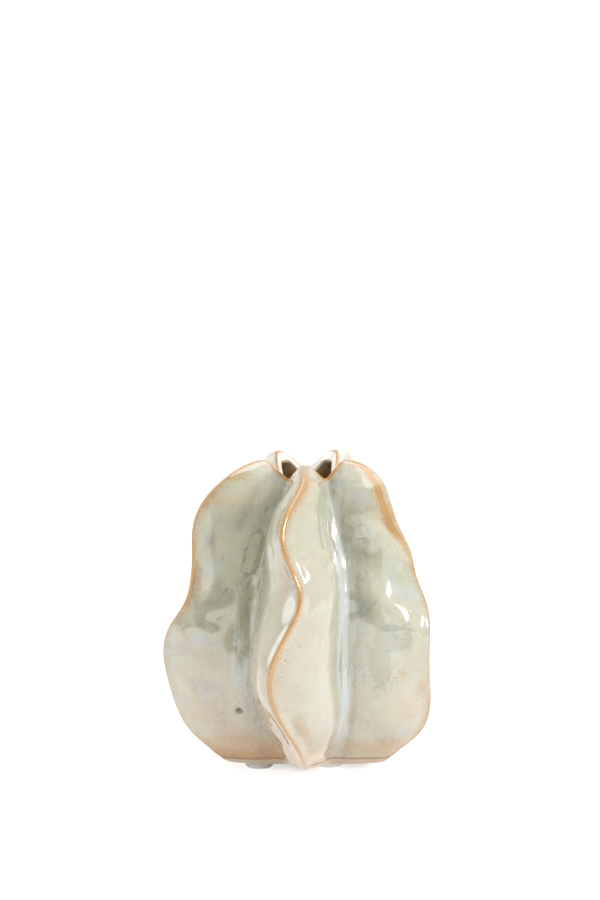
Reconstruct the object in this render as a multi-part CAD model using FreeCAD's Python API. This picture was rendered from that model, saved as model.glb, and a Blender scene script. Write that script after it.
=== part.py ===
"""Pillow vase: a hollow stoneware body of five puffed lobes with pinched, wavy ridges,
open at a five-pointed mouth, standing on four stick-on pads.

Frame: millimetres, +Z up, origin on the table under the middle of the vase, front lobe towards -Y.
"""

import FreeCAD, Part

import math
import os

# The body as a whole
BODY_HEIGHT = 132.5  # underside to the highest points of the rim
AXIS_X = 4.3  # the mouth's axis stands this far to the right of the origin
AXIS_Y = 3.3  # and this far behind it

# How far each lobe's ridge stands out from the mouth's axis, at its widest
FRONT_REACH = 58.0
RIGHT_REACH = 56.2
BACK_RIGHT_REACH = 58.0
BACK_LEFT_REACH = 59.0
LEFT_REACH = 63.9

# How far each lobe's ridge is from the axis where it meets the rim
FRONT_MOUTH_RADIUS = 17.6
RIGHT_MOUTH_RADIUS = 17.6
BACK_RIGHT_MOUTH_RADIUS = 20.4
BACK_LEFT_MOUTH_RADIUS = 19.4
LEFT_MOUTH_RADIUS = 19.6

# The valleys between the lobes
VALLEY_RADIUS = 30.6  # at the waist, where they stand out most
VALLEY_MOUTH_RADIUS = 13.2
RIM_DIP = 7.6  # how much lower the rim is at the valleys than at the ridges

# The clay
WALL = 4.0
FLOOR = 5.0
LIP_WIDTH = 3.2  # bevelled face of the rim, across the wall
LIP_DROP = 4.3  # and how far it falls towards the inside
BEAD_HALF_WIDTH = 1.7  # the bead pinched along each ridge
BEAD_DEPTH = 2.2
HOLLOW_TIP_HALF_WIDTH = 1.8  # the rounder end of the hollow behind it, inside the lobe
HOLLOW_TIP_INSET = 0.6

# The stick-on pads, and where the middle of each lies from the mouth's axis
PAD_DIAMETER = 12.0
PAD_THICKNESS = 2.3
PAD_EDGE_ROUND = 0.6
ADHESIVE_DIAMETER = 11.4
ADHESIVE_THICKNESS = 0.2
PAD_PLACES = {
    "left": (-20.6, -6.2),
    "right": (9.7, -4.8),
    "back_right": (11.2, 15.6),
    "back_left": (-11.2, 15.6),
}

UNDERSIDE = PAD_THICKNESS + ADHESIVE_THICKNESS
FLAT_TOLERANCE = 0.01  # an edge that rises less than this lies flat

# Levels up the body, as shares of its height, along the ridges and along the valleys
RIDGE_HEIGHT_SHARES = (
    0.0, 0.02, 0.05, 0.10, 0.19, 0.29, 0.39, 0.48, 0.55, 0.62, 0.71, 0.80, 0.885, 0.955, 0.99, 1.0,
)
VALLEY_HEIGHT_SHARES = (
    0.0, 0.021, 0.053, 0.105, 0.20, 0.305, 0.41, 0.505, 0.58, 0.653, 0.744, 0.825, 0.892, 0.945, 0.98, 1.0,
)
# The valleys' distance from the axis at those levels, up to the last one below the rim
VALLEY_OUT_SHARES = (
    0.53, 0.57, 0.63, 0.75, 0.89, 0.975, 1.0, 1.0, 0.99, 0.96, 0.86, 0.72, 0.60, 0.51, 0.455,
)
# How full the walls are puffed at those levels
PUFF_LEVEL_SHARES = (
    0.35, 0.45, 0.6, 0.8, 1.0, 1.0, 1.0, 1.0, 1.0, 1.0, 1.0, 0.95, 0.8, 0.5, 0.2, 0.1,
)

# The lobes in order, anticlockwise from the front one
REACHES = (FRONT_REACH, RIGHT_REACH, BACK_RIGHT_REACH, BACK_LEFT_REACH, LEFT_REACH)
MOUTH_RADII = (
    FRONT_MOUTH_RADIUS, RIGHT_MOUTH_RADIUS, BACK_RIGHT_MOUTH_RADIUS, BACK_LEFT_MOUTH_RADIUS,
    LEFT_MOUTH_RADIUS,
)
FRONT_ANGLE_DEG = -90.0  # where the front lobe faces, about +Z
# How far the valley after each lobe has drifted round from halfway to the next, at mid height
DRIFT_ANGLES_DEG = (-6.0, 2.0, 3.0, -3.0, -8.0)
# Each ridge's distance from the axis at each level below the rim, as shares of its reach
RIDGE_OUT_SHARES = (
    (0.38, 0.49, 0.585, 0.72, 0.87, 0.965, 1.0, 0.986, 0.965, 0.93, 0.893, 0.836, 0.735, 0.56, 0.41),
    (0.60, 0.675, 0.755, 0.885, 0.975, 0.987, 1.0, 0.995, 0.945, 0.865, 0.82, 0.757, 0.70, 0.595, 0.44),
    (0.50, 0.60, 0.69, 0.83, 0.94, 1.0, 0.98, 0.92, 0.90, 0.925, 0.90, 0.84, 0.76, 0.64, 0.50),
    (0.49, 0.59, 0.68, 0.81, 0.90, 0.93, 0.965, 1.0, 0.99, 0.94, 0.87, 0.80, 0.70, 0.54, 0.42),
    (0.52, 0.61, 0.68, 0.79, 0.895, 0.96, 1.0, 0.97, 0.885, 0.832, 0.805, 0.785, 0.715, 0.57, 0.418),
)
# and its sideways sway at each level, positive anticlockwise, as shares of the same reach
RIDGE_SWAY_SHARES = (
    (
        -0.02, -0.02, -0.03, -0.06, -0.16, -0.255, -0.262, -0.19, -0.10, -0.052,
        -0.112, -0.178, -0.135, -0.036, -0.026, -0.018,
    ),
    (0.0, 0.0, 0.02, 0.05, 0.05, 0.0, -0.06, -0.04, 0.02, 0.05, 0.03, -0.08, -0.12, -0.06, -0.01, 0.0),
    (0.0, 0.0, 0.03, 0.08, 0.14, 0.12, 0.03, -0.07, -0.10, -0.06, 0.03, 0.10, 0.08, 0.02, 0.0, 0.0),
    (0.0, 0.0, -0.03, -0.09, -0.15, -0.10, 0.01, 0.10, 0.11, 0.04, -0.07, -0.12, -0.07, 0.0, 0.02, 0.02),
    (0.0, 0.0, -0.03, -0.07, -0.09, -0.08, -0.04, 0.03, 0.06, 0.04, -0.01, -0.04, 0.0, 0.03, 0.01, 0.0),
)

# The wall from a ridge to the next valley: how far along it each pole stands,
# and how far it is puffed out there, as shares of the wall's length
WALL_ALONG_SHARES = (0.36, 0.78)
WALL_PUFF_SHARES = (0.19, 0.10)
INNER_ALONG_SHARES = (0.3, 0.68)
INNER_PUFF_SHARES = (0.105, 0.09)
CORNER_SHARE = 1.0 / 3.0  # a cubic curve passes a corner pole by this share of the corner's depth

CUBIC = 3
FIRST_INNER_LEVEL = 1  # the inside starts at this level, which is drawn down to the floor
INNER_LEVEL_STEP = 2  # and follows every second one from there


def moved(point, vector, scale=1.0):
    """A point moved by a scaled vector."""
    return tuple(p + scale * v for p, v in zip(point, vector))


def directions(degrees):
    """Outward unit vector at an angle about +Z, and the one a quarter turn ahead of it."""
    angle = math.radians(degrees)
    return (math.cos(angle), math.sin(angle), 0.0), (-math.sin(angle), math.cos(angle), 0.0)


def on_axis(height):
    """Point of the mouth's axis at a height above the table."""
    return (AXIS_X, AXIS_Y, height)


def lobe_angle(lobe):
    """Where a lobe faces about +Z, in degrees: the lobes stand evenly round the axis."""
    return FRONT_ANGLE_DEG + 360.0 * lobe / len(REACHES)


def ridge_outline(lobe):
    """Outer (radius, height) points of a lobe's ridge, from the underside to the rim."""
    radii = [REACHES[lobe] * share for share in RIDGE_OUT_SHARES[lobe]] + [MOUTH_RADII[lobe]]
    heights = [UNDERSIDE + BODY_HEIGHT * share for share in RIDGE_HEIGHT_SHARES]
    return list(zip(radii, heights))


def valley_outline():
    """Outer (radius, height) points of a valley, from the underside to the rim."""
    radii = [VALLEY_RADIUS * share for share in VALLEY_OUT_SHARES] + [VALLEY_MOUTH_RADIUS]
    heights = [UNDERSIDE + (BODY_HEIGHT - RIM_DIP) * share for share in VALLEY_HEIGHT_SHARES]
    return list(zip(radii, heights))


def wall_distance(ridge_radius, valley_radius):
    """Distance from the axis to the straight line between a ridge and the next valley."""
    half_step = math.pi / len(REACHES)
    valley_out = valley_radius * math.cos(half_step)
    valley_ahead = valley_radius * math.sin(half_step)
    return ridge_radius * valley_ahead / math.hypot(ridge_radius - valley_out, valley_ahead)


def inset(outline, depths):
    """An outline of (radius, height) points moved into the clay by a depth at each point."""
    last = len(outline) - 1
    points = []
    for i, (radius, height) in enumerate(outline):
        before = outline[max(i - 1, 0)]
        after = outline[min(i + 1, last)]
        run = after[0] - before[0]
        rise = after[1] - before[1]
        length = math.hypot(run, rise)
        points.append((radius - depths[i] * rise / length, height + depths[i] * run / length))
    return points


def inner_outline(outer, walls, lip_scale):
    """Inner (radius, height) points behind an outer outline, from the floor to the lip.

    The section shrinks towards the axis by the wall, so a ridge, which is further out,
    moves in further than the wall is thick.
    """
    depths = [WALL * radius / wall for (radius, _), wall in zip(outer, walls)]
    inside = inset(outer, depths)[FIRST_INNER_LEVEL:-1]
    inside[0] = (inside[0][0], UNDERSIDE + FLOOR)
    rim_radius, rim_height = outer[-1]
    return inside + [(rim_radius * lip_scale, rim_height - LIP_DROP)]


def wall_poles(bead, valley, side, along_shares, puffs):
    """Poles of a puffed wall from a ridge's bead to a valley, on the lobe's far (1) or near (-1) side."""
    run = moved(valley, bead, -1.0)
    outward = (run[1] * side, -run[0] * side, 0.0)
    return [
        moved(moved(bead, run, along), outward, puff)
        for along, puff in zip(along_shares, puffs)
    ]


def section(ridges, valleys, level, ridge_poles, along_shares, puff_shares):
    """Poles of one closed section: the poles of each ridge, then the puffed walls and valleys."""
    height_share = RIDGE_HEIGHT_SHARES[level]
    tips, bottoms = [], []
    for i, reach in enumerate(REACHES):
        out, ahead = directions(lobe_angle(i))
        radius, height = ridges[i]
        crest = moved(on_axis(height), out, radius)
        crest = moved(crest, ahead, reach * RIDGE_SWAY_SHARES[i][level])
        tips.append(ridge_poles(crest, out, ahead))
        drift = DRIFT_ANGLES_DEG[i] * math.sin(math.pi * height_share)
        out, _ = directions(lobe_angle(i + 0.5) + drift)
        radius, height = valleys[i]
        bottoms.append(moved(on_axis(height), out, radius))
    puffs = [PUFF_LEVEL_SHARES[level] * share for share in puff_shares]
    poles = []
    for i, tip in enumerate(tips):
        poles += wall_poles(tip[0], bottoms[i - 1], -1.0, along_shares, puffs)[::-1]
        poles += tip
        poles += wall_poles(tip[-1], bottoms[i], 1.0, along_shares, puffs)
        poles.append(bottoms[i])
    return poles


def bead_poles(crest, out, ahead):
    """Poles of the bead pinched along a ridge."""
    top = moved(crest, out, BEAD_DEPTH * CORNER_SHARE)
    foot = moved(top, out, -BEAD_DEPTH)
    return [moved(foot, ahead, -BEAD_HALF_WIDTH), top, moved(foot, ahead, BEAD_HALF_WIDTH)]


def hollow_tip_poles(crest, out, ahead):
    """Poles of the round end of a lobe's hollow, behind the ridge."""
    tip = moved(crest, out, -HOLLOW_TIP_INSET)
    return [moved(tip, ahead, -HOLLOW_TIP_HALF_WIDTH), moved(tip, ahead, HOLLOW_TIP_HALF_WIDTH)]


def outer_sections():
    """Sections of the outside, from the underside to the rim."""
    ridges = [ridge_outline(lobe) for lobe in range(len(REACHES))]
    valley = valley_outline()
    return [
        section(
            [ridge[level] for ridge in ridges],
            [valley[level]] * len(REACHES),
            level,
            bead_poles,
            WALL_ALONG_SHARES,
            WALL_PUFF_SHARES,
        )
        for level in range(len(RIDGE_HEIGHT_SHARES))
    ]


def inner_sections():
    """Sections of the inside, from the floor to the lip."""
    valley = valley_outline()
    ridges, valleys = [], []
    for lobe in range(len(REACHES)):
        ridge = ridge_outline(lobe)
        walls = [wall_distance(r, v) for (r, _), (v, _) in zip(ridge, valley)]
        lip_scale = 1.0 - LIP_WIDTH / walls[-1]
        ridges.append(inner_outline(ridge, walls, lip_scale))
        valleys.append(inner_outline(valley, walls, lip_scale))
    return [
        section(
            [ridge[level] for ridge in ridges],
            [valley[level] for valley in valleys],
            FIRST_INNER_LEVEL + level,
            hollow_tip_poles,
            INNER_ALONG_SHARES,
            INNER_PUFF_SHARES,
        )
        for level in range(0, len(ridges[0]), INNER_LEVEL_STEP)
    ]


def closed_knots(count):
    """Evenly spaced knots of a closed curve through a number of poles."""
    return [float(i) for i in range(count + 1)]


def skin(sections):
    """Face through closed sections, smooth around and up."""
    levels = [0.0]
    for low, high in zip(sections, sections[1:]):
        levels.append(levels[-1] + sum(math.dist(a, b) for a, b in zip(low, high)) / len(low))
    poles = []
    for line in zip(*sections):
        curve = Part.BSplineCurve()
        curve.interpolate(Points=[FreeCAD.Vector(*point) for point in line], Parameters=levels)
        poles.append(curve.getPoles())
    around = closed_knots(len(poles))
    surface = Part.BSplineSurface()
    surface.buildFromPolesMultsKnots(
        poles, [1] * len(around), curve.getMultiplicities(), around, curve.getKnots(),
        True, False, CUBIC, CUBIC,
    )
    return surface.toShape()


def rim_edge(face):
    """Upper edge of a skin."""
    edges = [edge for edge in face.Edges if edge.isClosed()]
    return max(edges, key=lambda edge: edge.BoundBox.ZMax)


def flat_bottom(face):
    """Flat face inside the lowest edge of a skin."""
    bottom = face.BoundBox.ZMin
    edges = [edge for edge in face.Edges if edge.BoundBox.ZMax < bottom + FLAT_TOLERANCE]
    return Part.Face(Part.Wire(edges))


def vase_body():
    """The hollow clay body."""
    outer_skin, inner_skin = skin(outer_sections()), skin(inner_sections())
    lip = Part.makeRuledSurface(rim_edge(outer_skin), rim_edge(inner_skin))
    shell = Part.Shell([outer_skin, inner_skin, lip, flat_bottom(outer_skin), flat_bottom(inner_skin)])
    shell.sewShape()
    return Part.Solid(shell)


def disc(place, bottom, diameter, thickness):
    """Round disc under the body, placed from the mouth's axis."""
    base = FreeCAD.Vector(*moved(on_axis(bottom), (place[0], place[1], 0.0)))
    return Part.makeCylinder(diameter / 2, thickness, base)


def pad(place):
    """A soft round pad with a rounded lower edge."""
    blank = disc(place, 0.0, PAD_DIAMETER, PAD_THICKNESS)
    lower_edges = [edge for edge in blank.Edges if edge.BoundBox.ZMax < PAD_THICKNESS / 2]
    return blank.makeFillet(PAD_EDGE_ROUND, lower_edges).Solids[0]


def main():
    os.makedirs("parts", exist_ok=True)
    pieces = {"vase_body": vase_body()}
    for name, place in PAD_PLACES.items():
        pieces["pad_" + name] = pad(place)
        pieces["adhesive_" + name] = disc(place, PAD_THICKNESS, ADHESIVE_DIAMETER, ADHESIVE_THICKNESS)
    for name, shape in pieces.items():
        shape.exportStep("parts/" + name + ".step")
        box = shape.BoundBox
        state = "valid" if shape.isValid() and shape.ShapeType == "Solid" else "NOT A VALID SOLID"
        print(
            "%s: %s, %.1f mm3, x %.2f to %.2f, y %.2f to %.2f, z %.2f to %.2f"
            % (name, state, shape.Volume, box.XMin, box.XMax, box.YMin, box.YMax, box.ZMin, box.ZMax)
        )


main()
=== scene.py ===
"""Pillow vase: the lustre-glazed body, its stick-on pads, and a plain studio with its camera.

Metres, +Z up, origin on the table under the middle of the vase, front lobe towards -Y.
"""

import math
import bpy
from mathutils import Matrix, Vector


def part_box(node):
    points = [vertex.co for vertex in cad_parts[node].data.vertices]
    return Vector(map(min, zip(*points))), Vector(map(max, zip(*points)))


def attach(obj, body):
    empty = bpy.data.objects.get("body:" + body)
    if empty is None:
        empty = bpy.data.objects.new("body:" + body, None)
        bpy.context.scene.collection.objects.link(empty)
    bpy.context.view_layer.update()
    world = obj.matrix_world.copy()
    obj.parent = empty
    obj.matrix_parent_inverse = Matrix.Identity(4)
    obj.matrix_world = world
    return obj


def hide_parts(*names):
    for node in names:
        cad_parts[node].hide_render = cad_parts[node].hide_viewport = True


bl_info = {
    "name": "Pillow Vase",
    "version": (1, 0, 0),
    "blender": (4, 5, 0),
    "location": "View3D > Sidebar > Pillow Vase",
    "description": "A hollow lobed stoneware vase with a lustre glaze, its stick-on pads and a plain studio",
    "category": "Add Mesh",
}

from collections import namedtuple

import bpy
import numpy as np
from mathutils import Vector

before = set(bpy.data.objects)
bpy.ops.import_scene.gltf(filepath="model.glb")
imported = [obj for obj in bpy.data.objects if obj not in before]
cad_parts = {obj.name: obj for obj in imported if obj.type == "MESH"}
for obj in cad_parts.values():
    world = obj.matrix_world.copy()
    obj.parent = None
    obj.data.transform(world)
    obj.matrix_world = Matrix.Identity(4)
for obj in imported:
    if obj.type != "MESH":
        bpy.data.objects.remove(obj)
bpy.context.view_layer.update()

MM = 0.001
TO_MM = 1000

PAD_NAMES = ("left", "right", "back_right", "back_left")
LOBE_COUNT = 5
POLES_PER_LOBE = 10
RIDGE_POLE = 4
VALLEY_POLE = 9
# Mesh steps between the poles of one lobe, close together on the bead
STEPS = (15, 13, 9, 6, 6, 9, 13, 15, 11, 11)

# Levels up the body, as shares of its height, along the ridges and along the valleys
RIDGE_HEIGHTS = (0.0, 0.02, 0.05, 0.10, 0.19, 0.29, 0.39, 0.48, 0.55, 0.62, 0.71, 0.80, 0.885, 0.955, 0.99, 1.0)
VALLEY_HEIGHTS = (
    0.0, 0.021, 0.053, 0.105, 0.20, 0.305, 0.41, 0.505, 0.58, 0.653, 0.744, 0.825, 0.892, 0.945, 0.98, 1.0,
)
# Each level's distance from the axis below the rim, and how strongly its walls puff out
VALLEY_OUT = (0.53, 0.57, 0.63, 0.75, 0.89, 0.975, 1.0, 1.0, 0.99, 0.96, 0.86, 0.72, 0.60, 0.51, 0.455)
PUFF_LEVELS = (0.35, 0.45, 0.6, 0.8, 1.0, 1.0, 1.0, 1.0, 1.0, 1.0, 1.0, 0.95, 0.8, 0.5, 0.2, 0.1)
# Where a wall's poles lie from ridge to valley, and how far each stands out, as shares of its run
WALL_ALONG = (0.18, 0.45, 0.78)
OUTER_PUFFS = (0.10, 0.17, 0.10)
INNER_PUFFS = (0.09, 0.13, 0.035)
# How far each valley leans round the body at half height, in degrees
VALLEY_DRIFTS = (-6.0, 2.0, 3.0, -3.0, -8.0)
# Each ridge's reach at each level below the rim, and how far it sways round, as shares of its reach
RIDGE_OUT = (
    (0.38, 0.49, 0.585, 0.72, 0.87, 0.965, 1.0, 0.986, 0.965, 0.93, 0.893, 0.836, 0.735, 0.56, 0.41),
    (0.60, 0.675, 0.755, 0.885, 0.975, 0.987, 1.0, 0.995, 0.945, 0.865, 0.82, 0.757, 0.70, 0.595, 0.44),
    (0.50, 0.60, 0.69, 0.83, 0.94, 1.0, 0.98, 0.92, 0.90, 0.925, 0.90, 0.84, 0.76, 0.64, 0.50),
    (0.49, 0.59, 0.68, 0.81, 0.90, 0.93, 0.965, 1.0, 0.99, 0.94, 0.87, 0.80, 0.70, 0.54, 0.42),
    (0.52, 0.61, 0.68, 0.79, 0.895, 0.96, 1.0, 0.97, 0.885, 0.832, 0.805, 0.785, 0.715, 0.57, 0.418),
)
RIDGE_SWAY = (
    (
        -0.02, -0.02, -0.03, -0.06, -0.16, -0.255, -0.262, -0.19, -0.10, -0.052,
        -0.112, -0.178, -0.135, -0.036, -0.026, -0.018,
    ),
    (0.0, 0.0, 0.02, 0.05, 0.05, 0.0, -0.06, -0.04, 0.02, 0.05, 0.03, -0.08, -0.12, -0.06, -0.01, 0.0),
    (0.0, 0.0, 0.03, 0.08, 0.14, 0.12, 0.03, -0.07, -0.10, -0.06, 0.03, 0.10, 0.08, 0.02, 0.0, 0.0),
    (0.0, 0.0, -0.03, -0.09, -0.15, -0.10, 0.01, 0.10, 0.11, 0.04, -0.07, -0.12, -0.07, 0.0, 0.02, 0.02),
    (0.0, 0.0, -0.03, -0.07, -0.09, -0.08, -0.04, 0.03, 0.06, 0.04, -0.01, -0.04, 0.0, 0.03, 0.01, 0.0),
)
# Half width of the amber line along each ridge at each level, in millimetres
AMBER_HALF_WIDTHS = (
    (0.7, 0.8, 0.9, 0.8, 0.75, 1.05, 1.1, 1.05, 1.0, 0.95, 0.95, 1.05, 1.8, 2.8, 2.6, 2.2),
    (1.2, 1.4, 1.4, 1.6, 1.6, 0.9, 0.6, 0.7, 1.1, 0.8, 1.2, 1.4, 1.2, 1.1, 1.0, 1.0),
    (1.2, 1.2, 1.0, 0.8, 0.9, 1.2, 1.0, 0.7, 0.8, 1.2, 1.3, 1.0, 0.8, 1.2, 1.6, 1.4),
    (1.2, 1.3, 1.0, 0.9, 1.2, 1.3, 0.9, 0.8, 1.0, 1.2, 0.9, 0.8, 1.2, 1.6, 1.6, 1.4),
    (1.2, 1.2, 1.0, 0.6, 0.5, 0.5, 0.6, 0.8, 1.4, 1.7, 1.5, 1.2, 1.3, 1.4, 1.1, 1.0),
)
# How far the line strays off the ridge, anticlockwise, in millimetres
AMBER_SHIFTS = (
    (0.0, 0.0, 0.0, 0.0, 0.0, 0.0, 0.0, 0.0, 0.0, 0.0, 0.0, 0.0, 0.4, 0.8, 0.6, 0.0),
    (0.0, 0.0, 0.0, 0.0, 0.0, 0.0, 0.0, 0.0, 0.0, -0.3, -1.8, -3.9, -4.2, -3.4, -1.4, -0.3),
    (0.0, 0.0, 0.3, 0.6, 0.0, -0.5, 0.0, 0.6, 0.8, 0.0, -0.6, -0.6, 0.0, 0.8, 0.4, 0.0),
    (0.0, 0.0, -0.4, 0.0, 0.6, 0.6, 0.0, -0.6, 0.0, 0.8, 0.8, 0.0, -0.6, -0.6, 0.0, 0.0),
    (0.0, 0.0, 0.0, 0.0, 0.3, 0.3, 0.3, 0.3, 0.4, 0.5, 0.4, 0.3, 0.5, 0.6, 0.2, 0.0),
)
# How strong the line is at each level
AMBER_STRENGTHS = (
    (0.5, 0.6, 0.8, 0.95, 1.0, 0.95, 0.95, 1.0, 1.0, 1.0, 1.0, 1.0, 0.95, 0.75, 0.6, 0.5),
    (0.7, 0.8, 0.7, 0.6, 0.6, 0.45, 0.4, 0.5, 0.75, 0.6, 0.6, 0.75, 0.85, 0.95, 1.0, 1.0),
    (0.6, 0.7, 0.6, 0.5, 0.7, 0.9, 0.8, 0.5, 0.5, 0.8, 1.0, 0.9, 0.7, 0.8, 1.0, 1.0),
    (0.6, 0.7, 0.5, 0.5, 0.9, 1.0, 0.7, 0.5, 0.8, 1.0, 0.8, 0.6, 0.9, 1.0, 1.0, 1.0),
    (0.7, 0.6, 0.35, 0.15, 0.12, 0.15, 0.2, 0.4, 0.85, 0.95, 0.85, 0.6, 0.6, 0.75, 0.9, 1.0),
)

# Hand-pressed places in the outside: lobe, side (-1 clockwise, 1 anticlockwise of the ridge),
# height share, share of the way from ridge to valley, radius around and up, depth, in millimetres
PRESSED = (
    (1, -1, 0.59, 0.37, 4.6, 4.0, 0.42), (0, 1, 0.49, 0.46, 2.0, 4.0, 0.55),
    (0, 1, 0.455, 0.56, 1.4, 6.0, 0.35), (1, -1, 0.8, 0.45, 7.0, 6.0, 0.5), (1, -1, 0.89, 0.22, 3.5, 4.0, 0.5),
    (1, -1, 0.8, 0.18, 3.0, 4.0, 0.5), (1, -1, 0.42, 0.42, 7.0, 6.0, 0.6), (1, -1, 0.3, 0.65, 6.0, 9.0, 0.4),
    (1, -1, 0.66, 0.62, 4.0, 8.0, 0.5), (4, 1, 0.5, 0.4, 7.0, 5.0, 0.6), (4, 1, 0.69, 0.8, 2.2, 8.0, 0.6),
    (4, 1, 0.58, 0.84, 2.0, 3.5, 0.5), (4, 1, 0.46, 0.78, 4.0, 5.0, 0.5), (4, 1, 0.33, 0.66, 5.0, 7.0, 0.4),
    (0, 1, 0.76, 0.3, 2.5, 6.0, 0.4), (0, 1, 0.76, 0.6, 1.7, 15.0, 0.45), (0, 1, 0.73, 0.85, 1.6, 17.0, 0.45),
    (0, 1, 0.8, 0.73, 1.2, 13.0, 0.35), (0, 1, 0.66, 0.45, 2.5, 6.0, 0.4), (0, 1, 0.55, 0.34, 3.0, 5.0, 0.4),
    (0, 1, 0.47, 0.46, 3.0, 6.0, 0.35), (0, -1, 0.56, 0.3, 3.0, 5.0, 0.4), (0, -1, 0.74, 0.35, 3.0, 8.0, 0.35),
    (2, 1, 0.62, 0.45, 7.0, 7.0, 0.5), (2, -1, 0.4, 0.5, 7.0, 7.0, 0.5), (3, 1, 0.55, 0.4, 7.0, 7.0, 0.5),
    (3, -1, 0.7, 0.45, 7.0, 7.0, 0.5), (4, 1, 0.21, 0.77, 1.2, 1.0, 0.8), (4, 1, 0.716, 0.846, 2.4, 6.0, 0.7),
    (4, 1, 0.607, 0.92, 1.8, 3.6, 0.6),
)

# Places without the slow lumps and small presses, where one large highlight lies
CALM = ((1, -1, 0.588, 0.363, 10.0, 11.0), (4, 1, 0.83, 0.42, 13.0, 15.0), (0, 1, 0.74, 0.55, 10.0, 24.0))

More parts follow.
